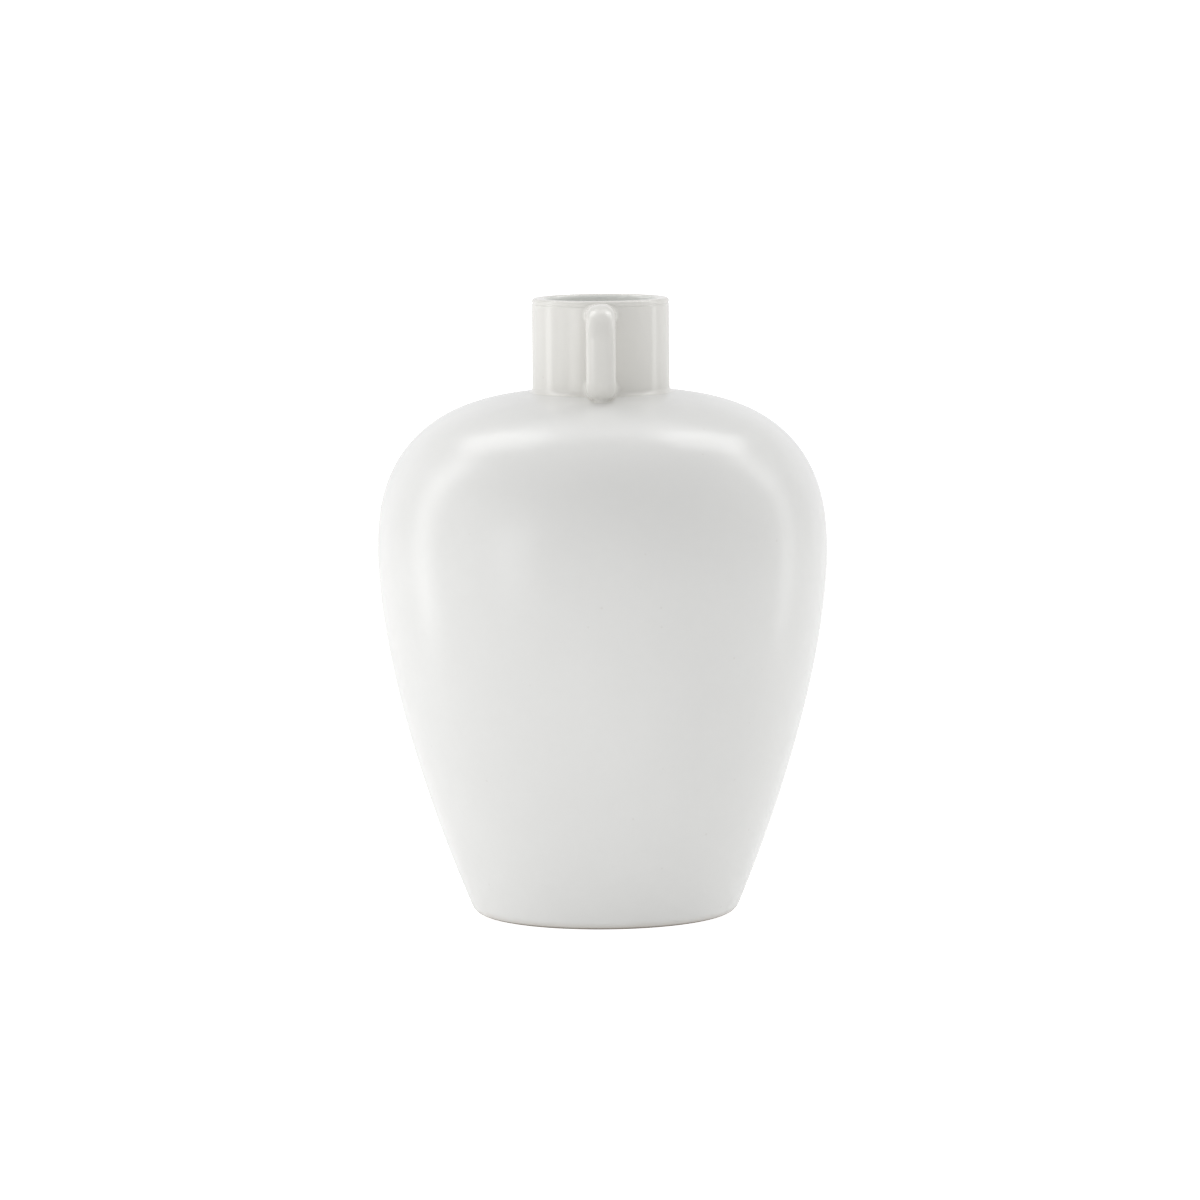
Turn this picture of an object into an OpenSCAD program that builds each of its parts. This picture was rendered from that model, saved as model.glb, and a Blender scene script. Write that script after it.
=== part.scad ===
// Glazed stoneware bud vase: a wide rounded body on a small foot, a short straight
// neck, and one strap handle that stands off the front of the neck.
// Millimetres. The origin is the middle of the foot on the table, +Z is up, and the
// handle points to -Y.

/* [Body] */
// Height from the table to the lip
height = 180; // [172:1:200]
// Radius at the widest point of the belly
belly_r = 65.6; // [60:0.1:75]
// Height of the widest point of the belly
belly_z = 105.3; // [95:0.1:115]
// Height that the shoulder curve would reach on the axis
crown_z = 153.3; // [148:0.1:156]
// How square the shoulder is outwards, where 2 is an ellipse
shoulder_out = 3.05; // [2:0.05:3.5]
// How square the shoulder is upwards, where 2 is an ellipse
shoulder_up = 2.48; // [2:0.02:3]
// How the flank swells from the foot to the belly, where 1 is a straight cone
flank_power = 1.62; // [1.2:0.02:2]
// Thickness of the body wall
wall = 4.5; // [3:0.1:6]
// Thickness of the floor
floor_t = 5; // [4:0.1:8]

/* [Foot] */
// Outer radius of the foot where the flank ends
foot_r = 39.5; // [38:0.1:45]
// Radius of the rounding under the flank
foot_round = 3.9; // [2:0.1:5]
// Inner radius of the foot ring
foot_in_r = 31.5; // [28:0.1:33]
// Height of the hollow under the floor
base_lift = 2.2; // [1.5:0.1:3]
// Height of the bare edge below the glaze
bare_edge = 0.7; // [0.4:0.1:1]

/* [Neck] */
// Outer radius of the neck
neck_r = 20; // [17:0.1:24]
// Thickness of the neck's clay wall
neck_wall = 3; // [2.4:0.1:4]
// Radius of the lip's outer edge
lip_round = 1; // [0.6:0.1:1.2]
// Radius of the lip's inner edge
lip_in_round = 1.2; // [0.8:0.1:1.4]
// Radius of the slip worked into the corner under the neck
slip_round = 1.5; // [1:0.1:2]
// Thickness of the glaze that lines the inside
lining = 0.5; // [0.3:0.1:0.8]

/* [Handle] */
// Distance from the neck to the handle's outer face
reach = 13; // [12:0.5:18]
// Width of the strap
strap_w = 8.5; // [7:0.1:10]
// Thickness of the strap
strap_t = 6; // [5.7:0.1:6.2]
// Radius of the strap's long edges
strap_edge = 2.8; // [1.5:0.1:2.8]
// Distance from the lip down to the top of the strap
handle_drop = 0.7; // [0.5:0.1:2]
// Depth that the strap's lower end sinks into the shoulder at the neck
handle_sink = 0.85; // [0.5:0.05:1]
// Outer radius of the upper bend
upper_bend = 10; // [7:0.1:10.5]
// Outer radius of the lower bend
lower_bend = 6.5; // [6.5:0.1:8]
// How far the slip spreads to each side of the strap's ends
slip_spread = 1.2; // [0.8:0.1:1.5]

/* [Hidden] */
$fn = 96;
flank_lean = 22;                 // degrees off vertical where the flank meets the foot
floor_round = 9;                 // rounding between the floor and the inner wall
seat_inset = 3.5;                // from the foot's outer radius in to where the ring's top face ends
edge_break = 0.8;                // bevel on the foot ring's inner edge
slip_edge = 0.2;                 // thickness of the slip where it ends
sink = 3;                        // how far handle ends run into the neck before trimming
clear = 1;                       // extra length on cutting shapes
curve_steps = 26;                // straight steps along the shoulder and along the flank
arc_step = 12;                   // degrees to a step on a small round

neck_in_r = neck_r - neck_wall;
bore_r = neck_in_r - lining;
floor_z = base_lift + floor_t;
ring_seat_r = foot_r - seat_inset;
toe_r = neck_r + slip_round;
seat_z = shoulder_z(toe_r, 0);
flank_start = arc_point([foot_r - foot_round, foot_round], foot_round, -flank_lean);
bare_angle = -asin((foot_round - bare_edge) / foot_round);
lip_angle = acos((neck_in_r - bore_r - lip_in_round) / lip_in_round);
strap_out_y = -(neck_r + reach);
strap_y = strap_out_y + strap_t / 2;
strap_top_z = height - handle_drop - strap_t / 2;
strap_low_z = round(100 * (seat_z - handle_sink + strap_t / 2)) / 100; // ends meet to the hundredth

// ---- outlines, as points of radius and height ----

function arc_point(centre, r, a) = centre + r * [cos(a), sin(a)];

// Points on an arc from angle a0 to angle a1
function arc(centre, r, a0, a1) =
    let (n = max(2, ceil(abs(a1 - a0) / arc_step)))
    [for (i = [0:n]) arc_point(centre, r, a0 + (a1 - a0) * i / n)];

// Height of the shoulder at radius r, for a surface this far inside the outer one
function shoulder_z(r, inset) =
    belly_z + (crown_z - inset - belly_z)
    * pow(1 - pow(r / (belly_r - inset), shoulder_out), 1 / shoulder_up);

// Shoulder from the belly up and in to radius r_end
function shoulder(inset, r_end) =
    let (
        widest = belly_r - inset,
        rise = crown_z - inset - belly_z,
        last = acos(pow(r_end / widest, shoulder_out / 2))
    )
    [for (i = [0:curve_steps]) let (a = last * i / curve_steps)
        [widest * pow(cos(a), 2 / shoulder_out), belly_z + rise * pow(sin(a), 2 / shoulder_up)]];

function flank_r(z, inset) =
    belly_r - inset - (belly_r - flank_start[0])
    * pow((belly_z - z) / (belly_z - flank_start[1]), flank_power);

// Flank from height z_start up to just under the belly
function flank(inset, z_start) =
    [for (i = [0:curve_steps - 1]) let (z = z_start + (belly_z - z_start) * i / curve_steps)
        [flank_r(z, inset), z]];

// Inside of the vase from the middle of the floor up to the foot of the bore
function inside(inset, floor_at, r_end) =
    let (
        z_turn = floor_at + floor_round * (1 - sin(flank_lean)),
        centre = [flank_r(z_turn, inset) - floor_round * cos(flank_lean), floor_at + floor_round]
    )
    concat(
        [[0, floor_at]],
        arc(centre, floor_round, -90, -flank_lean - arc_step),
        flank(inset, z_turn),
        shoulder(inset, r_end)
    );

function reversed(points) = [for (i = [len(points) - 1:-1:0]) points[i]];

// ---- body, foot and neck ----

module body() {
    outside = concat(
        [[0, base_lift], [ring_seat_r, base_lift]],
        arc([foot_r - foot_round, foot_round], foot_round, bare_angle, -flank_lean - arc_step / 2),
        flank(0, flank_start[1]),
        shoulder(0, toe_r)
    );
    color([0.86, 0.86, 0.84])
        rotate_extrude()
            polygon(concat(outside, [[neck_in_r, seat_z]], reversed(inside(wall, floor_z, neck_in_r))));
}

// Bare clay that stands on the table
module foot_ring() {
    color([0.76, 0.70, 0.62])
        rotate_extrude()
            polygon(concat(
                [
                    [foot_in_r, base_lift],
                    [foot_in_r, edge_break],
                    [foot_in_r + edge_break, 0]
                ],
                arc([foot_r - foot_round, foot_round], foot_round, -90, bare_angle),
                [[ring_seat_r, base_lift]]
            ));
}

module neck() {
    color([0.85, 0.85, 0.83])
        rotate_extrude()
            polygon(concat(
                [[neck_in_r, seat_z], [neck_r, seat_z]],
                arc([neck_r - lip_round, height - lip_round], lip_round, 0, 90),
                arc([bore_r + lip_in_round, height - lip_in_round], lip_in_round, 90, lip_angle)
            ));
}

// Slip worked into the corner between the neck and the shoulder
module neck_slip_joint() {
    color([0.88, 0.88, 0.86])
        difference() {
            translate([0, 0, seat_z])
                rotate_extrude()
                    difference() {
                        translate([neck_r, 0]) square(slip_round);
                        translate([toe_r, slip_round]) circle(slip_round - slip_edge);
                    }
            strap();
            slip_block(strap_low_z, 0, slip_spread);
        }
}

// Glaze that makes the inside watertight, from the floor up to the lip
module glaze_lining() {
    color([0.80, 0.81, 0.78])
        rotate_extrude()
            polygon(concat(
                inside(wall + lining, floor_z + lining, bore_r),
                reversed(arc([bore_r + lip_in_round, height - lip_in_round], lip_in_round, lip_angle, 180)),
                reversed(inside(wall, floor_z, neck_in_r))
            ));
}

// ---- handle ----

// Section of the strap, across x and through y
module strap_section() {
    for (side = [-1, 1]) {
        translate([0, side * (strap_t / 2 - strap_edge) / 2])
            square([strap_w - 2 * strap_edge, strap_t / 2 + strap_edge], center = true);
        for (face = [-1, 1])
            translate([side * (strap_w / 2 - strap_edge), face * (strap_t / 2 - strap_edge)])
                circle(strap_edge);
    }
    square([strap_w, strap_t - 2 * strap_edge], center = true);
}

// A quarter turn of the strap about the x axis, from the given angle round to 90 degrees more
module strap_bend(outer_r, z, from) {
    translate([0, strap_out_y + outer_r, z])
        rotate([90, 0, 90])
            rotate(from)
                rotate_extrude(angle = 90)
                    translate([outer_r - strap_t / 2, 0])
                        rotate(90)
                            strap_section();
}

// A level run of the strap from the bend to inside the neck
module strap_arm(z, outer_r) {
    start = strap_out_y + outer_r;
    translate([0, start, z])
        rotate([-90, 0, 0])
            linear_extrude(-start - neck_r + sink)
                strap_section();
}

// The whole strap before it is trimmed to the neck and the shoulder
module strap() {
    upright_low = strap_low_z - strap_t / 2 + lower_bend;
    upright_high = strap_top_z + strap_t / 2 - upper_bend;
    strap_arm(strap_top_z, upper_bend);
    strap_arm(strap_low_z, lower_bend);
    translate([0, strap_y, upright_low])
        linear_extrude(upright_high - upright_low)
            strap_section();
    strap_bend(upper_bend, upright_high, 90);
    strap_bend(lower_bend, upright_low, 180);
}

// Everything inside the outer faces of the shoulder and the neck
module vessel_core() {
    rotate_extrude()
        polygon(concat(
            [[0, belly_z]],
            shoulder(0, toe_r),
            [[neck_r, seat_z], [neck_r, height + clear], [0, height + clear]]
        ));
}

module handle() {
    color([0.87, 0.87, 0.85])
        difference() {
            strap();
            vessel_core();
        }
}

// Slip around one end of the strap, spread below and above it by the given amounts
module slip_block(z, below, above) {
    depth = sink + slip_spread;
    low = z - strap_t / 2 - below;
    tall = strap_t + below + above;
    wide = strap_w + 2 * slip_spread;
    difference() {
        translate([-wide / 2, -(neck_r + slip_spread), low])
            cube([wide, depth, tall]);
        for (side = [-1, 1])
            translate([side * wide / 2, -(neck_r + slip_spread), low - clear])
                cylinder(r = slip_spread - slip_edge, h = tall + 2 * clear);
        for (edge_z = [low, low + tall])
            translate([-wide / 2 - clear, -(neck_r + slip_spread), edge_z])
                rotate([0, 90, 0])
                    cylinder(r = slip_spread - slip_edge, h = wide + 2 * clear);
    }
}

module slip_joint(z, below, above) {
    color([0.88, 0.88, 0.86])
        difference() {
            slip_block(z, below, above);
            vessel_core();
            strap();
        }
}

module handle_upper_slip_joint() {
    slip_joint(strap_top_z, slip_spread, 0);
}

module handle_lower_slip_joint() {
    slip_joint(strap_low_z, 0, slip_spread);
}

body();
foot_ring();
neck();
neck_slip_joint();
handle();
handle_upper_slip_joint();
handle_lower_slip_joint();
glaze_lining();
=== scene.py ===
"""A glazed stoneware bud vase, spun and luted together around its CAD frame. Metres, +Z up."""

import math

import bmesh
import bpy
from mathutils import Matrix, Quaternion, Vector, noise


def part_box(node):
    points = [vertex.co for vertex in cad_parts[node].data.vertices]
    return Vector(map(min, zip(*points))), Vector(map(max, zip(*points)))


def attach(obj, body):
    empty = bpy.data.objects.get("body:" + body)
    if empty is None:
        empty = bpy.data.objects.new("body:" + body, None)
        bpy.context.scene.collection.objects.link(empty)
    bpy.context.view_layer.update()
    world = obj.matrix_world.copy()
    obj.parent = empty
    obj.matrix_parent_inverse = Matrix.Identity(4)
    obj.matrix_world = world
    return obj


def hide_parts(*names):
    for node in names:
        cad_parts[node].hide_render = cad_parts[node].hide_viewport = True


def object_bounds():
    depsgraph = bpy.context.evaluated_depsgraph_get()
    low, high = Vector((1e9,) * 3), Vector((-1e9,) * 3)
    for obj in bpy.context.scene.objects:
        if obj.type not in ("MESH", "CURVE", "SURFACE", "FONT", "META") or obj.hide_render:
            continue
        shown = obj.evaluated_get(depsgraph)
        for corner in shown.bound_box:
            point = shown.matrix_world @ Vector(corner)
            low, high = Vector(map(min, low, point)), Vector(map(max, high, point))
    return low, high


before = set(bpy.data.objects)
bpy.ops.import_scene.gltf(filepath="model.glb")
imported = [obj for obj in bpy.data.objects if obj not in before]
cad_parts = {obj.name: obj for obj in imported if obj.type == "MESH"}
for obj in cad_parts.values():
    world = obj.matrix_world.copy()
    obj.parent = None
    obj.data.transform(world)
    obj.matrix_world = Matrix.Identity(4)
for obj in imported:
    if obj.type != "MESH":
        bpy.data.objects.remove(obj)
cad_low, cad_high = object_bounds()

MM = 0.001
TURN = 2 * math.pi

# ---- sizes taken from the frame ----
HEIGHT = cad_high.z
BELLY_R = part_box("body")[1].x
NECK_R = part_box("neck")[1].x
SEAT_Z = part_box("neck")[0].z
SLIP_TOE_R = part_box("neck_slip_joint")[1].x
BASE_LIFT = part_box("foot_ring")[1].z
STRAP_LOW, STRAP_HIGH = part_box("handle")

# ---- sizes of the curves between them ----
BELLY_Z = 105.3 * MM
CROWN_Z = 153.3 * MM
SHOULDER_OUT = 3.05
SHOULDER_UP = 2.48
FLANK_POWER = 1.62
FLANK_LEAN = math.radians(22)
FOOT_R = 39.5 * MM
FOOT_ROUND = 3.9 * MM
FOOT_IN_R = 31.5 * MM
RING_SEAT_R = 36 * MM
BARE_EDGE = 0.7 * MM
GLAZE_T = 0.25 * MM
WALL = 4.5 * MM
LINING = 0.5 * MM
NECK_IN_R = 17 * MM
BORE_R = NECK_IN_R - LINING
FLOOR_Z = BASE_LIFT + 5 * MM
FLOOR_ROUND = 9 * MM
LIP_ROUND = 1 * MM
LIP_IN_ROUND = 1.2 * MM
THROAT_ROUND = 2 * MM

STRAP_T = 6 * MM
STRAP_OVAL = 2.15                # 2 is an ellipse, more is squarer
UPPER_BEND = 10 * MM
LOWER_BEND = 6.5 * MM
STRAP_SINK = 1.5 * MM
SLIP_FULL = 0.25                 # how far the slip's hollow curve is filled towards a plain bevel
# how far the slip spreads on the neck and climbs along the strap: beside, over and under it
UPPER_SLIP = ((1.25 * MM, 1.25 * MM), (0.25 * MM, 0.25 * MM), (1.2 * MM, 1.2 * MM))
LOWER_SLIP = ((1.5 * MM, 1.5 * MM), (1.3 * MM, 1.3 * MM), (0.45 * MM, 3.3 * MM))

SLIP_BED = 0.3 * MM              # how deep the slip round the neck runs into the shoulder
SLIP_KEY = 0.6 * MM              # and how deep it runs into the neck
GLAZE_ROLL = math.radians(120)   # how far the glaze rolls under at the foot's glaze line
CREASE_R = 0.35 * MM
CREASE_OUT = 0.15 * MM
CREASE_DROP = 0.45 * MM          # from the lip's rounding down to the middle of the crease

SPIN_STEPS = 256
TUCK = 0.004 * MM                # how far a slip joint dips under the surface that it meets


# ---- outlines as points of radius and height ----

def arc(centre, radius, start, end, steps):
    """Points on a round stretch, from one angle to another."""
    angles = [start + (end - start) * i / steps for i in range(steps + 1)]
    return [(centre[0] + radius * math.cos(a), centre[1] + radius * math.sin(a)) for a in angles]


FOOT_CENTRE = (FOOT_R - FOOT_ROUND, FOOT_ROUND)
FLANK_START = arc(FOOT_CENTRE, FOOT_ROUND, -FLANK_LEAN, -FLANK_LEAN, 1)[0]
GLAZE_ANGLE = -math.asin((FOOT_ROUND - BARE_EDGE) / FOOT_ROUND)


def flank_r(z, inset):
    """Radius of the side at a height below the belly."""
    rise = (BELLY_Z - z) / (BELLY_Z - FLANK_START[1])
    return BELLY_R - inset - (BELLY_R - FLANK_START[0]) * rise ** FLANK_POWER


def flank(inset, z_start, steps):
    """The side from the foot up to just under the belly."""
    heights = [z_start + (BELLY_Z - z_start) * i / steps for i in range(steps)]
    return [(flank_r(z, inset), z) for z in heights]


def shoulder(inset, r_end, steps):
    """The side from the belly up and in to a radius."""
    widest = BELLY_R - inset
    rise = CROWN_Z - inset - BELLY_Z
    last = math.acos((r_end / widest) ** (SHOULDER_OUT / 2))
    points = []
    for i in range(steps + 1):
        a = last * i / steps
        points.append((widest * math.cos(a) ** (2 / SHOULDER_OUT),
                       BELLY_Z + rise * math.sin(a) ** (2 / SHOULDER_UP)))
    return points


def shoulder_z(r, inset=0.0):
    """Height of the shoulder at a radius."""
    share = 1 - (r / (BELLY_R - inset)) ** SHOULDER_OUT
    return BELLY_Z + (CROWN_Z - inset - BELLY_Z) * share ** (1 / SHOULDER_UP)


def inside(inset, floor_z, steps):
    """The hollow from the floor's corner up to the shoulder's underside."""
    z_turn = floor_z + FLOOR_ROUND * (1 - math.sin(FLANK_LEAN))
    centre = (flank_r(z_turn, inset) - FLOOR_ROUND * math.cos(FLANK_LEAN), floor_z + FLOOR_ROUND)
    return arc(centre, FLOOR_ROUND, -math.pi / 2, -FLANK_LEAN, 10)[:-1] + flank(inset, z_turn, steps)


# ---- turning a lump of clay on the wheel ----

def finish_piece(name, bm, node, crease=32):
    """Hands a closed bmesh over as a smooth piece that rides on the vase."""
    bmesh.ops.remove_doubles(bm, verts=bm.verts, dist=1e-7)
    bmesh.ops.dissolve_degenerate(bm, edges=bm.edges, dist=1e-8)
    bmesh.ops.recalc_face_normals(bm, faces=bm.faces)
    for face in bm.faces:
        face.smooth = True
    for edge in bm.edges:
        if len(edge.link_faces) == 2 and edge.calc_face_angle(0.0) > math.radians(crease):
            edge.smooth = False
    mesh = bpy.data.meshes.new(name)
    bm.to_mesh(mesh)
    bm.free()
    piece = bpy.data.objects.new(name, mesh)
    bpy.context.scene.collection.objects.link(piece)
    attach(piece, "root")
    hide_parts(node)
    return piece


def kiln_drift(bm, amount=0.04 * MM, grain=28 * MM):
    """Clay never leaves the kiln quite true: a slow, faint unevenness in the radius."""
    for vert in bm.verts:
        reach = math.hypot(vert.co.x, vert.co.y)
        if reach < 5 * MM:
            continue
        swell = amount * noise.noise(vert.co / grain)
        vert.co.x += vert.co.x / reach * swell
        vert.co.y += vert.co.y / reach * swell


def throw(outline, steps=SPIN_STEPS):
    """Spins a closed outline, or one that starts and ends on the axis, once round."""
    bm = bmesh.new()
    verts = [bm.verts.new((r, 0, z)) for r, z in outline]
    edges = [bm.edges.new(pair) for pair in zip(verts, verts[1:])]
    if outline[0][0] > 0:
        edges.append(bm.edges.new((verts[-1], verts[0])))
    bmesh.ops.spin(bm, geom=verts + edges, cent=(0, 0, 0), axis=(0, 0, 1), dvec=(0, 0, 0),
                   angle=TURN, steps=steps, use_merge=True, use_normal_flip=False,
                   use_duplicate=False)
    bmesh.ops.remove_doubles(bm, verts=bm.verts, dist=1e-7)
    return bm


def vase_body(name):
    """Hollow shell from the glaze line at the foot to the seat under the neck."""
    roll_centre = arc(FOOT_CENTRE, FOOT_ROUND - GLAZE_T, GLAZE_ANGLE, GLAZE_ANGLE, 1)[0]
    outside = [(0, BASE_LIFT), (RING_SEAT_R - 2 * MM, BASE_LIFT), (RING_SEAT_R, BASE_LIFT - 0.3 * MM)]
    outside += arc(roll_centre, GLAZE_T, GLAZE_ANGLE - GLAZE_ROLL, GLAZE_ANGLE, 6)
    outside += arc(FOOT_CENTRE, FOOT_ROUND, GLAZE_ANGLE, -FLANK_LEAN, 12)[1:-1]
    outside += flank(0, FLANK_START[1], 56)
    outside += shoulder(0, SLIP_TOE_R - 0.6 * MM, 60)
    hollow = inside(WALL, FLOOR_Z, 24) + shoulder(WALL, NECK_IN_R, 24)
    outline = outside + [(NECK_IN_R, SEAT_Z)] + hollow[::-1] + [(0, FLOOR_Z)]
    bm = throw(outline)
    kiln_drift(bm)
    return finish_piece(name, bm, "body")


def bare_foot(name):
    """Wiped clay ring, a glaze's thickness inside the glazed corner above it."""
    bare = FOOT_ROUND - GLAZE_T
    outline = [(FOOT_IN_R, BASE_LIFT + 0.2 * MM), (FOOT_IN_R + 0.05 * MM, 0.9 * MM)]
    outline += arc((FOOT_IN_R + 0.75 * MM, 0.7 * MM), 0.7 * MM, math.pi, 1.5 * math.pi, 6)
    outline += arc((FOOT_CENTRE[0], bare), bare, -math.pi / 2, GLAZE_ANGLE + math.radians(6), 10)
    outline += [(RING_SEAT_R, BASE_LIFT)]
    bm = throw(outline)
    kiln_drift(bm)
    return finish_piece(name, bm, "foot_ring")


def neck_collar(name):
    """Straight collar with a softly rounded lip and a fine crease below it."""
    lip_out = (NECK_R - LIP_ROUND, HEIGHT - LIP_ROUND)
    lip_in = (BORE_R + LIP_IN_ROUND, HEIGHT - LIP_IN_ROUND)
    meet = math.acos((NECK_IN_R - lip_in[0]) / LIP_IN_ROUND)
    wall = [(NECK_R, SEAT_Z + (lip_out[1] - 1.2 * MM - SEAT_Z) * i / 24) for i in range(25)]
    outline = [(NECK_IN_R, SEAT_Z)] + wall
    outline += [(NECK_R, lip_out[1] - 1.0 * MM), (NECK_R - 0.04 * MM, lip_out[1] - 0.8 * MM)]
    outline += arc((NECK_R + CREASE_OUT, lip_out[1] - CREASE_DROP), CREASE_R,
                   math.radians(235), math.radians(125), 8)
    outline += arc(lip_out, LIP_ROUND, 0, math.pi / 2, 12)
    outline += arc(lip_in, LIP_IN_ROUND, math.pi / 2, meet, 8)
    bm = throw(outline)
    kiln_drift(bm)
    return finish_piece(name, bm, "neck")


def neck_slip(name):
    """Slip worked into a hollow curve under the neck."""
    radius = SLIP_TOE_R - NECK_R
    foot_z = shoulder_z(SLIP_TOE_R)
    centre = (SLIP_TOE_R - TUCK, foot_z + radius - TUCK)
    outline = [(NECK_R - SLIP_KEY, foot_z - SLIP_BED), (SLIP_TOE_R, foot_z - SLIP_BED)]
    outline += arc(centre, radius, -math.pi / 2 + 0.06, -math.pi, 20)
    outline += [(NECK_R - SLIP_KEY, foot_z + radius)]
    bm = throw(outline)
    kiln_drift(bm)
    return finish_piece(name, bm, "neck_slip_joint", crease=50)


def liner(name):
    """Glaze coat inside, from the floor up through the throat to the lip."""
    inset = WALL + LINING
    lip_in = (BORE_R + LIP_IN_ROUND, HEIGHT - LIP_IN_ROUND)
    meet = math.acos((NECK_IN_R - lip_in[0]) / LIP_IN_ROUND)
    throat_z = shoulder_z(BORE_R + THROAT_ROUND, inset)
    throat = arc((BORE_R + THROAT_ROUND, throat_z + THROAT_ROUND), THROAT_ROUND,
                 -math.pi / 2, -math.pi, 10)
    glaze_face = [(0, FLOOR_Z + LINING)] + inside(inset, FLOOR_Z + LINING, 28)
    glaze_face += shoulder(inset, BORE_R + THROAT_ROUND, 28)[:-1] + throat
    glaze_face += [(BORE_R, throat_z + 10 * MM), (BORE_R, throat_z + 20 * MM)]
    glaze_face += arc(lip_in, LIP_IN_ROUND, math.pi, meet, 8)
    clay_face = [(0, FLOOR_Z)] + inside(WALL, FLOOR_Z, 28) + shoulder(WALL, NECK_IN_R, 28)
    bm = throw(glaze_face + clay_face[::-1])
    kiln_drift(bm)
    return finish_piece(name, bm, "glaze_lining")


# ---- the strap handle ----

STRAP_W = STRAP_HIGH.x - STRAP_LOW.x
STRAP_OUT_Y = STRAP_LOW.y
ARM_HIGH_Z = STRAP_HIGH.z - STRAP_T / 2
ARM_LOW_Z = STRAP_LOW.z + STRAP_T / 2


def strap_section(bm, steps=64):
    """The strap's cut end, upright in the x and z plane: a flattened oval."""
    bmesh.ops.create_circle(bm, cap_ends=True, radius=1, segments=steps,
                            matrix=Matrix.Rotation(math.pi / 2, 4, "X"))
    for vert in bm.verts:
        for axis, half in ((0, STRAP_W / 2), (2, STRAP_T / 2)):
            share = vert.co[axis]
            vert.co[axis] = math.copysign(abs(share) ** (2 / STRAP_OVAL), share) * half
    return bm.faces[:]


def section_normal(x, z):
    """Which way the oval's surface faces at a point on it."""
    half_w = STRAP_W / 2
    half_t = STRAP_T / 2
    normal = Vector((math.copysign(abs(x / half_w) ** (STRAP_OVAL - 1), x) / half_w, 0,
                     math.copysign(abs(z / half_t) ** (STRAP_OVAL - 1), z) / half_t))
    return normal.normalized()


def draw_out(bm, faces, travel, steps):
    """Extrudes the cut end along a straight line and returns the new end."""
    for _ in range(steps):
        grown = bmesh.ops.extrude_face_region(bm, geom=faces)["geom"]
        ends = [g for g in grown if isinstance(g, bmesh.types.BMFace)]
        verts = [g for g in grown if isinstance(g, bmesh.types.BMVert)]
        bmesh.ops.delete(bm, geom=faces, context="FACES_ONLY")
        bmesh.ops.translate(bm, verts=verts, vec=travel / steps)
        faces = ends
    return faces


def bend(bm, faces, centre, angle, steps):
    """Spins the cut end about the x axis and returns the new end."""
    turned = bmesh.ops.spin(bm, geom=faces, cent=centre, axis=(1, 0, 0), dvec=(0, 0, 0),
                            angle=angle, steps=steps, use_merge=False,
                            use_normal_flip=False, use_duplicate=False)["geom_last"]
    return [g for g in turned if isinstance(g, bmesh.types.BMFace)]


def strap_handle(name):
    """One strap of clay, from inside the neck out, down and back in."""
    bm = bmesh.new()
    faces = strap_section(bm)
    inner_y = -(NECK_R - STRAP_SINK)
    bmesh.ops.translate(bm, verts=bm.verts, vec=(0, inner_y, ARM_HIGH_Z))
    top_y = STRAP_OUT_Y + UPPER_BEND
    low_y = STRAP_OUT_Y + LOWER_BEND
    bend_high_z = STRAP_HIGH.z - UPPER_BEND
    bend_low_z = STRAP_LOW.z + LOWER_BEND
    faces = draw_out(bm, faces, Vector((0, top_y - inner_y, 0)), 8)
    faces = bend(bm, faces, (0, top_y, bend_high_z), math.pi / 2, 20)
    faces = draw_out(bm, faces, Vector((0, 0, bend_low_z - bend_high_z)), 16)
    faces = bend(bm, faces, (0, low_y, bend_low_z), math.pi / 2, 20)
    draw_out(bm, faces, Vector((0, inner_y - low_y, 0)), 8)
    return finish_piece(name, bm, "handle", crease=50)


def outer_skin_r(z):
    """Radius of the lip, neck, slip or shoulder at a height."""
    lip_z = HEIGHT - LIP_ROUND
    slip_r = SLIP_TOE_R - NECK_R
    if z > lip_z:
        return NECK_R - LIP_ROUND + math.sqrt(LIP_ROUND ** 2 - (z - lip_z) ** 2)
    if z > SEAT_Z + slip_r:
        return NECK_R
    if z > SEAT_Z:
        return SLIP_TOE_R - math.sqrt(slip_r ** 2 - (SEAT_Z + slip_r - z) ** 2)
    share = 1 - ((z - BELLY_Z) / (CROWN_Z - BELLY_Z)) ** SHOULDER_UP
    return BELLY_R * share ** (1 / SHOULDER_OUT)


def follow_bend(y, z):
    """Where a point of the level lower arm lands once the strap bends up."""
    start = STRAP_OUT_Y + LOWER_BEND
    if y > start:
        return y, z
    centre_z = STRAP_LOW.z + LOWER_BEND
    angle = (start - y) / LOWER_BEND
    return start - (centre_z - z) * math.sin(angle), centre_z - (centre_z - z) * math.cos(angle)


def spread_ring(verts, section, arm_z, beside, over, under, out, off):
    """Sets one ring of a slip joint, by shares of its spread and of its climb along the strap."""
    for vert in verts:
        x, _, z = vert[section]
        normal = section_normal(x, z)
        upright = over if normal.z > 0 else under
        spread = beside[0] * normal.x ** 2 + upright[0] * normal.z ** 2
        climb = beside[1] * normal.x ** 2 + upright[1] * normal.z ** 2
        x += normal.x * spread * out
        z += normal.z * spread * out + arm_z
        y = -math.sqrt(outer_skin_r(z) ** 2 - x ** 2) - climb * off
        bent_y, bent_z = follow_bend(y, z)
        share = min(1, 1 - out)
        vert.co = (x, y + (bent_y - y) * share, z + (bent_z - z) * share)


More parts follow.
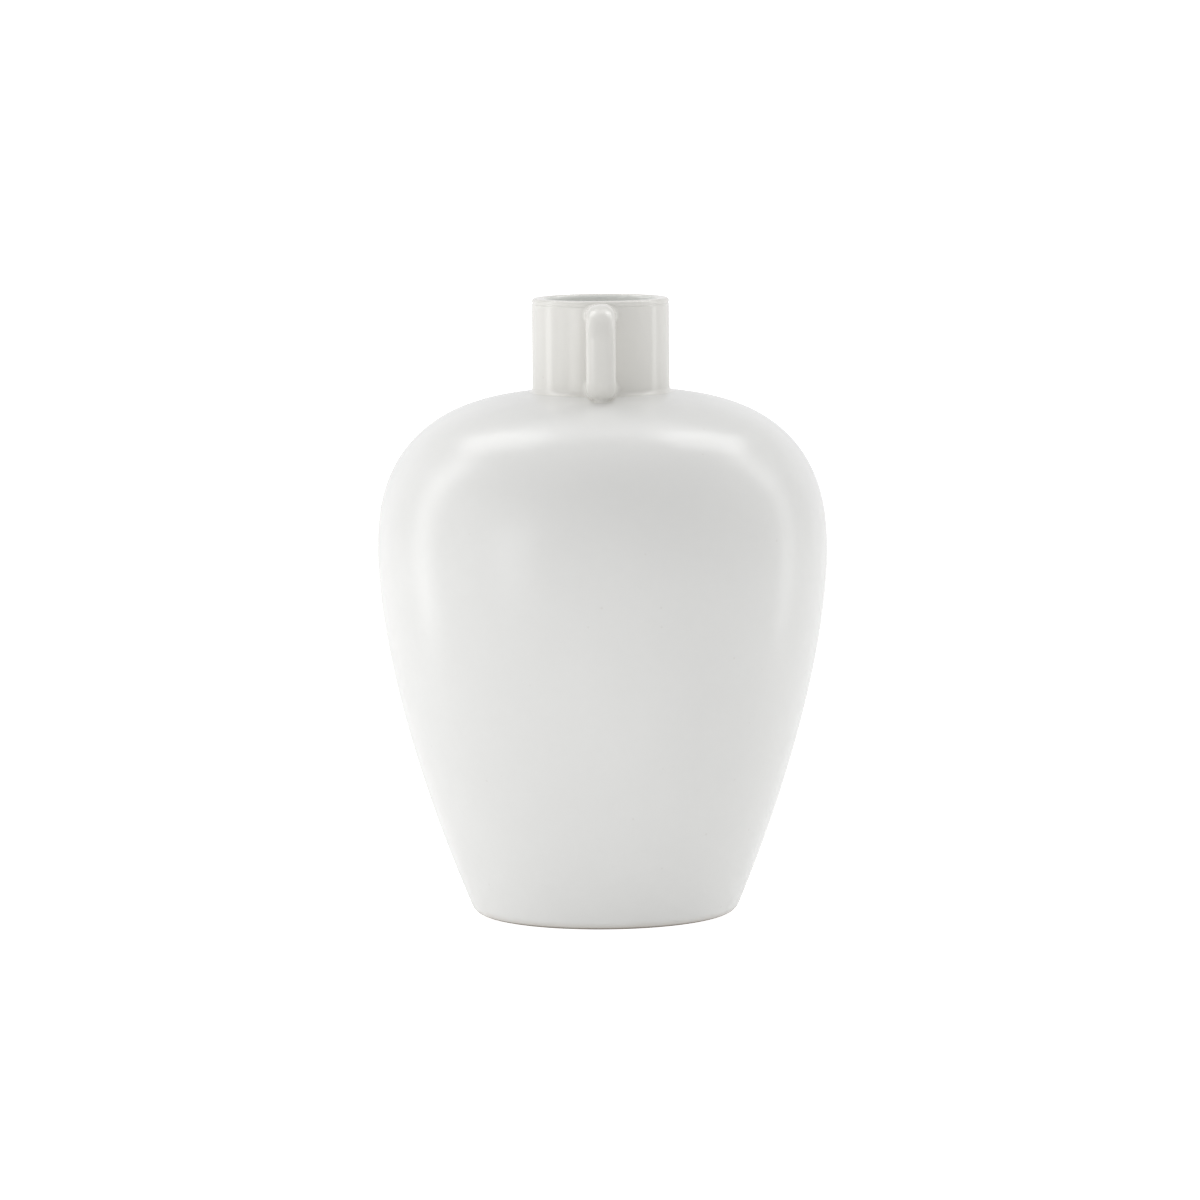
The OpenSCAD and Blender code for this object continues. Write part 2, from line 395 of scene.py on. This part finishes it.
def handle_slip(name, arm_z, beside, over, under, node):
    """Slip wiped into a hollow curve round one end of the strap."""
    bm = bmesh.new()
    section = bm.verts.layers.float_vector.new("section")
    face, = strap_section(bm)
    for vert in bm.verts:
        vert[section] = vert.co
    edges = list(face.edges)
    bmesh.ops.delete(bm, geom=[face], context="FACES_ONLY")
    hollow = 1 - SLIP_FULL
    rings = []
    for i in range(10):
        share = i / 9
        out = hollow * (1 - math.cos(share * math.pi / 2)) + SLIP_FULL * share
        off = hollow * (1 - math.sin(share * math.pi / 2)) + SLIP_FULL * (1 - share)
        rings.append((out - 0.01, off - 0.01))
    rings += [(1, -0.8), (-0.6, -0.8), (-0.6, 1)]
    spread_ring(bm.verts, section, arm_z, beside, over, under, *rings[0])
    first = edges
    for out, off in rings[1:]:
        grown = bmesh.ops.extrude_edge_only(bm, edges=edges)["geom"]
        edges = [g for g in grown if isinstance(g, bmesh.types.BMEdge) and len(g.link_faces) == 1]
        verts = [g for g in grown if isinstance(g, bmesh.types.BMVert)]
        spread_ring(verts, section, arm_z, beside, over, under, out, off)
    bmesh.ops.bridge_loops(bm, edges=first + edges)
    return finish_piece(name, bm, node, crease=60)


# ---- finishes ----

def new_group(name, inputs, outputs):
    """An empty effect with named sockets, each input with its usual value."""
    tree = bpy.data.node_groups.new(name, "ShaderNodeTree")
    for socket, value in inputs.items():
        kind = "NodeSocketColor" if isinstance(value, tuple) else "NodeSocketFloat"
        made = tree.interface.new_socket(socket, in_out="INPUT", socket_type=kind)
        made.default_value = value
    for socket, kind in outputs.items():
        tree.interface.new_socket(socket, in_out="OUTPUT", socket_type=kind)
    return tree, tree.nodes.new("NodeGroupInput"), tree.nodes.new("NodeGroupOutput")


def add_noise(tree, place, scale, detail=2.0):
    """Cloudy noise, with the scale in grains to a metre."""
    node = tree.nodes.new("ShaderNodeTexNoise")
    node.inputs["Scale"].default_value = scale
    node.inputs["Detail"].default_value = detail
    tree.links.new(place, node.inputs["Vector"])
    return node.outputs["Fac"]


def add_cells(tree, place, scale):
    node = tree.nodes.new("ShaderNodeTexVoronoi")
    node.inputs["Scale"].default_value = scale
    tree.links.new(place, node.inputs["Vector"])
    return node


def add_math(tree, operation, *terms):
    node = tree.nodes.new("ShaderNodeMath")
    node.operation = operation
    for socket, term in zip(node.inputs, terms):
        if isinstance(term, (int, float)):
            socket.default_value = term
        else:
            tree.links.new(term, socket)
    return node.outputs[0]


def add_range(tree, value, low, high, to_low=0.0, to_high=1.0):
    """A soft step from one value to another as the input passes from low to high."""
    node = tree.nodes.new("ShaderNodeMapRange")
    node.interpolation_type = "SMOOTHSTEP"
    tree.links.new(value, node.inputs["Value"])
    for socket, number in zip(("From Min", "From Max", "To Min", "To Max"),
                              (low, high, to_low, to_high)):
        node.inputs[socket].default_value = number
    return node.outputs["Result"]


def add_mix(tree, share, first, second):
    node = tree.nodes.new("ShaderNodeMix")
    node.data_type = "RGBA"
    for socket, term in ((node.inputs["Factor"], share), (node.inputs[6], first),
                         (node.inputs[7], second)):
        if isinstance(term, (int, float, tuple)):
            socket.default_value = term
        else:
            tree.links.new(term, socket)
    return node.outputs[2]


def build_glaze_tone():
    """Slow clouds, faint iron specks, and warmer clay showing where the glaze runs thin at the lip,
    with painted shade where the mask darkens the glaze near the foot.
    """
    tree, given, result = new_group(
        "Glaze Tone",
        {"Colour": (0.8, 0.8, 0.8, 1), "Thin Colour": (0.7, 0.65, 0.6, 1), "glaze edge and shade": 0.0,
         "Cloud": 0.05, "Speck": 0.3},
        {"Colour": "NodeSocketColor"})
    place = tree.nodes.new("ShaderNodeTexCoord").outputs["Object"]
    cloud = add_noise(tree, place, 26, 3)
    sift = add_noise(tree, place, 420, 2)
    drift = add_math(tree, "ADD", cloud, add_math(tree, "MULTIPLY", sift, 0.35))
    level = add_math(tree, "MULTIPLY", add_math(tree, "SUBTRACT", drift, 0.675), given.outputs["Cloud"])
    scale = tree.nodes.new("ShaderNodeVectorMath")
    scale.operation = "SCALE"
    tree.links.new(given.outputs["Colour"], scale.inputs[0])
    tree.links.new(add_math(tree, "ADD", level, 1.0), scale.inputs["Scale"])
    warm = add_mix(tree, given.outputs["glaze edge and shade"], scale.outputs[0], given.outputs["Thin Colour"])
    cells = add_cells(tree, place, 240)
    dot = add_range(tree, cells.outputs["Distance"], 0.05, 0.11, 1.0, 0.0)
    rare = tree.nodes.new("ShaderNodeSeparateColor")
    tree.links.new(cells.outputs["Color"], rare.inputs[0])
    chosen = add_math(tree, "GREATER_THAN", rare.outputs[0], 0.9)
    speck = add_math(tree, "MULTIPLY", add_math(tree, "MULTIPLY", dot, chosen), given.outputs["Speck"])
    tree.links.new(add_mix(tree, speck, warm, (0.32, 0.24, 0.17, 1)), result.inputs["Colour"])
    return tree


def build_glaze_skin():
    """Soft ripples and orange peel in the surface, in millimetres, and a patchy satin."""
    tree, given, result = new_group(
        "Glaze Skin",
        {"Ripple": 0.02, "Peel": 0.001, "Satin": 0.25, "Patch": 0.05},
        {"Height": "NodeSocketFloat", "Roughness": "NodeSocketFloat"})
    place = tree.nodes.new("ShaderNodeTexCoord").outputs["Object"]
    ripple = add_math(tree, "MULTIPLY", add_noise(tree, place, 42, 1), given.outputs["Ripple"])
    peel = add_math(tree, "MULTIPLY", add_noise(tree, place, 700, 2), given.outputs["Peel"])
    tree.links.new(add_math(tree, "ADD", ripple, peel), result.inputs["Height"])
    patch = add_math(tree, "SUBTRACT", add_noise(tree, place, 55, 3), 0.5)
    satin = add_math(tree, "ADD", given.outputs["Satin"],
                     add_math(tree, "MULTIPLY", patch, given.outputs["Patch"]))
    tree.links.new(satin, result.inputs["Roughness"])
    return tree


def build_glaze_edge_and_foot_shade():
    """Where glaze runs thin over the lip, and painted shade on top of the thinning glaze down at the
    foot's glaze line.
    """
    tree, _, result = new_group("glaze edge and foot shade", {}, {"glaze edge and shade": "NodeSocketFloat"})
    place = tree.nodes.new("ShaderNodeTexCoord").outputs["Object"]
    split = tree.nodes.new("ShaderNodeSeparateXYZ")
    tree.links.new(place, split.inputs[0])
    wander = add_math(tree, "MULTIPLY", add_noise(tree, place, 90, 2), 1.2 * MM)
    level = add_math(tree, "ADD", split.outputs["Z"], wander)
    lip = add_range(tree, level, HEIGHT - 0.6 * MM, HEIGHT + 0.8 * MM)
    # painted shade: the glaze turns darker and warmer in the last few millimetres above the floor, on
    # top of the glaze thinning at its line
    foot = add_range(tree, level, 0.8 * MM, 3.5 * MM, 0.7, 0.0)
    worn_lip = add_math(tree, "MULTIPLY", lip, 0.25)
    tree.links.new(add_math(tree, "MAXIMUM", worn_lip, foot), result.inputs["glaze edge and shade"])
    return tree


def build_clay_grain():
    """Sandy bare clay with grog, toasted by iron close to the glaze."""
    tree, given, result = new_group(
        "Clay Grain",
        {"Clay": (0.55, 0.45, 0.35, 1), "Toasted": (0.4, 0.2, 0.1, 1)},
        {"Colour": "NodeSocketColor", "Height": "NodeSocketFloat"})
    place = tree.nodes.new("ShaderNodeTexCoord").outputs["Object"]
    split = tree.nodes.new("ShaderNodeSeparateXYZ")
    tree.links.new(place, split.inputs[0])
    wander = add_math(tree, "MULTIPLY", add_noise(tree, place, 120, 3), 0.5 * MM)
    level = add_math(tree, "ADD", split.outputs["Z"], wander)
    toast = add_range(tree, level, 0.35 * MM, 1.1 * MM)
    warm = add_mix(tree, toast, given.outputs["Clay"], given.outputs["Toasted"])
    sand = add_noise(tree, place, 1600, 3)
    grog = add_cells(tree, place, 700)
    grain = add_range(tree, grog.outputs["Distance"], 0.1, 0.35, 0.35, 0.0)
    pale = add_mix(tree, grain, warm, (0.66, 0.58, 0.48, 1))
    shade = tree.nodes.new("ShaderNodeVectorMath")
    shade.operation = "SCALE"
    tree.links.new(pale, shade.inputs[0])
    tree.links.new(add_range(tree, sand, 0.3, 0.7, 0.82, 1.1), shade.inputs["Scale"])
    tree.links.new(shade.outputs[0], result.inputs["Colour"])
    tree.links.new(add_math(tree, "ADD", sand, grain), result.inputs["Height"])
    return tree


GLAZE_TONE = build_glaze_tone()
GLAZE_SKIN = build_glaze_skin()
GLAZE_EDGE_AND_FOOT_SHADE = build_glaze_edge_and_foot_shade()
CLAY_GRAIN = build_clay_grain()


def place_group(mat, tree, **values):
    node = mat.node_tree.nodes.new("ShaderNodeGroup")
    node.node_tree = tree
    for name, value in values.items():
        node.inputs[name.replace("_", " ")].default_value = value
    return node


def add_bump(mat, height, distance):
    bump = mat.node_tree.nodes.new("ShaderNodeBump")
    bump.inputs["Distance"].default_value = distance
    mat.node_tree.links.new(height, bump.inputs["Height"])
    mat.node_tree.links.new(bump.outputs["Normal"], shader_of(mat).inputs["Normal"])


def shader_of(mat):
    return mat.node_tree.nodes["Principled BSDF"]


def glaze(name, colour, clay_and_shade, satin, cloud=0.05, speck=0.1, ripple=0.02, peel=0.0012):
    """A fired glaze over pale clay."""
    mat = bpy.data.materials.new(name)
    mat.use_nodes = True
    link = mat.node_tree.links.new
    shader = shader_of(mat)
    shader.inputs["IOR"].default_value = 1.5
    tone = place_group(mat, GLAZE_TONE, Colour=colour, Thin_Colour=clay_and_shade, Cloud=cloud, Speck=speck)
    skin = place_group(mat, GLAZE_SKIN, Ripple=ripple, Peel=peel, Satin=satin, Patch=0.06)
    edge_and_shade = place_group(mat, GLAZE_EDGE_AND_FOOT_SHADE)
    link(edge_and_shade.outputs["glaze edge and shade"], tone.inputs["glaze edge and shade"])
    link(tone.outputs["Colour"], shader.inputs["Base Color"])
    link(skin.outputs["Roughness"], shader.inputs["Roughness"])
    add_bump(mat, skin.outputs["Height"], 1 * MM)
    return mat


def bare_clay(name, clay, toasted):
    """Unglazed clay, dry and sandy."""
    mat = bpy.data.materials.new(name)
    mat.use_nodes = True
    shader = shader_of(mat)
    shader.inputs["Roughness"].default_value = 0.85
    shader.inputs["IOR"].default_value = 1.45
    grain = place_group(mat, CLAY_GRAIN, Clay=clay, Toasted=toasted)
    mat.node_tree.links.new(grain.outputs["Colour"], shader.inputs["Base Color"])
    add_bump(mat, grain.outputs["Height"], 0.03 * MM)
    return mat


# ---- stage, light and camera ----

FLOOR_GLOW = 0.27                # light that the floor gives the vase, besides what it bounces
FLOOR_SEEN = 0.95                # and how bright it looks, so that it stays plain white
ROOM_LIGHT = 0.62


def pale_floor_material():
    """Matt pale paper that glows a little, and more towards the camera."""
    mat = bpy.data.materials.new("pale floor")
    mat.use_nodes = True
    shader = shader_of(mat)
    shader.inputs["Base Color"].default_value = (0.75, 0.75, 0.75, 1)
    shader.inputs["Roughness"].default_value = 0.6
    shader.inputs["Emission Color"].default_value = (1, 1, 1, 1)
    path = mat.node_tree.nodes.new("ShaderNodeLightPath")
    glow = add_range(mat.node_tree, path.outputs["Is Camera Ray"], 0, 1, FLOOR_GLOW, FLOOR_SEEN)
    mat.node_tree.links.new(glow, shader.inputs["Emission Strength"])
    return mat


def add_floor():
    """A round floor, wide enough that its edge is far behind the vase."""
    bm = bmesh.new()
    bmesh.ops.create_circle(bm, cap_ends=True, radius=30, segments=64)
    mesh = bpy.data.meshes.new("pale_floor")
    bm.to_mesh(mesh)
    bm.free()
    floor = bpy.data.objects.new("pale_floor", mesh)
    bpy.context.scene.collection.objects.link(floor)
    mesh.materials.append(pale_floor_material())


def add_camera():
    """A long lens, level with the shoulder and a little above it."""
    distance = 1.8447
    eye = Vector((0, -distance, 0.29157))
    aim = Vector((0, 0, 0.09156))
    data = bpy.data.cameras.new("camera")
    data.sensor_width = 36
    data.lens = 190.6
    data.shift_x = -0.0025
    data.clip_end = 100
    camera = bpy.data.objects.new("camera", data)
    bpy.context.scene.collection.objects.link(camera)
    camera.rotation_mode = "QUATERNION"
    tilt = Quaternion((0, 0, 1), math.radians(-0.5))
    camera.location = eye
    camera.rotation_quaternion = (aim - eye).to_track_quat("-Z", "Y") @ tilt
    bpy.context.scene.camera = camera


def softbox(name, azimuth, elevation, distance, size, radiance, colour=(1, 1, 1)):
    """A soft panel facing the vase. Azimuth 0 is the front and 90 the right."""
    turn = math.radians(azimuth)
    rise = math.radians(elevation)
    away = Vector((math.sin(turn) * math.cos(rise), -math.cos(turn) * math.cos(rise), math.sin(rise)))
    data = bpy.data.lights.new(name, "AREA")
    data.shape = "RECTANGLE"
    data.size, data.size_y = size
    data.energy = math.pi * size[0] * size[1] * radiance
    data.color = colour
    light = bpy.data.objects.new(name, data)
    bpy.context.scene.collection.objects.link(light)
    light.location = Vector((0, 0, 0.1)) + away * distance
    light.rotation_mode = "QUATERNION"
    light.rotation_quaternion = away.to_track_quat("Z", "Y")
    light.visible_camera = False


def add_lights():
    """An even room, and boxes and strips that draw the long highlights on the glaze."""
    world = bpy.data.worlds.new("studio")
    world.use_nodes = True
    world.node_tree.nodes["Background"].inputs["Color"].default_value = (1, 1, 1, 1)
    world.node_tree.nodes["Background"].inputs["Strength"].default_value = ROOM_LIGHT
    bpy.context.scene.world = world
    softbox("left overhead box", -128, 56, 2.0, (0.70, 1.00), 2.4)
    softbox("right overhead box", 126, 55, 2.0, (0.70, 1.00), 2.8)
    softbox("left back box", -150, 66, 2.0, (0.70, 1.00), 0.85)
    softbox("right back box", 150, 66, 2.0, (0.70, 1.00), 0.95)
    softbox("left high panel", -108, 35, 1.2, (0.40, 0.60), 0.7)
    softbox("right high panel", 108, 35, 1.2, (0.40, 0.60), 0.8)
    softbox("left side strip", -95, 14, 0.3, (0.07, 0.35), 1.7)
    softbox("right side strip", 99, 14, 0.3, (0.055, 0.35), 1.3)
    softbox("left front wall", -55, 14, 1.4, (1.10, 0.80), 0.45)
    softbox("left front card", -44, 2, 0.5, (0.16, 0.22), 1.2)
    softbox("back wall", 180, 12, 3.0, (6.0, 1.6), 0.25, (0.93, 0.93, 1.0))


def studio_colours():
    """Plain display colours, so that white stays white."""
    scene = bpy.context.scene
    scene.view_settings.view_transform = "Standard"
    scene.view_settings.look = "None"


add_camera()
add_floor()
add_lights()
studio_colours()

# clay tone for the glaze thinning at the lip, and also the colour of the painted shade near the foot
CLAY_AND_FOOT_SHADE_TONE = (0.62, 0.58, 0.53, 1)
WHITE_GLAZE = glaze("white satin glaze", (0.78, 0.78, 0.765, 1), CLAY_AND_FOOT_SHADE_TONE, 0.24)
NECK_GLAZE = glaze("thin white glaze", (0.78, 0.77, 0.735, 1), CLAY_AND_FOOT_SHADE_TONE, 0.16)
# a glossier glaze inside, given a paler colour than the outer glaze as painted light in the dim hollow
LINER_GLAZE_PAINTED_LIGHT = glaze("glossy liner glaze with painted light", (0.86, 0.87, 0.84, 1), CLAY_AND_FOOT_SHADE_TONE, 0.14)
FOOT_CLAY = bare_clay("bare stoneware", (0.42, 0.39, 0.35, 1), (0.31, 0.27, 0.23, 1))

for piece, finish in (
    (vase_body("vase_body"), WHITE_GLAZE),
    (bare_foot("bare_foot"), FOOT_CLAY),
    (neck_collar("neck_collar"), NECK_GLAZE),
    (neck_slip("neck_slip"), NECK_GLAZE),
    (liner("glaze_liner"), LINER_GLAZE_PAINTED_LIGHT),
    (strap_handle("strap_handle"), NECK_GLAZE),
    (handle_slip("upper_handle_slip", ARM_HIGH_Z, *UPPER_SLIP, "handle_upper_slip_joint"), NECK_GLAZE),
    (handle_slip("lower_handle_slip", ARM_LOW_Z, *LOWER_SLIP, "handle_lower_slip_joint"), NECK_GLAZE),
):
    piece.data.materials.append(finish)
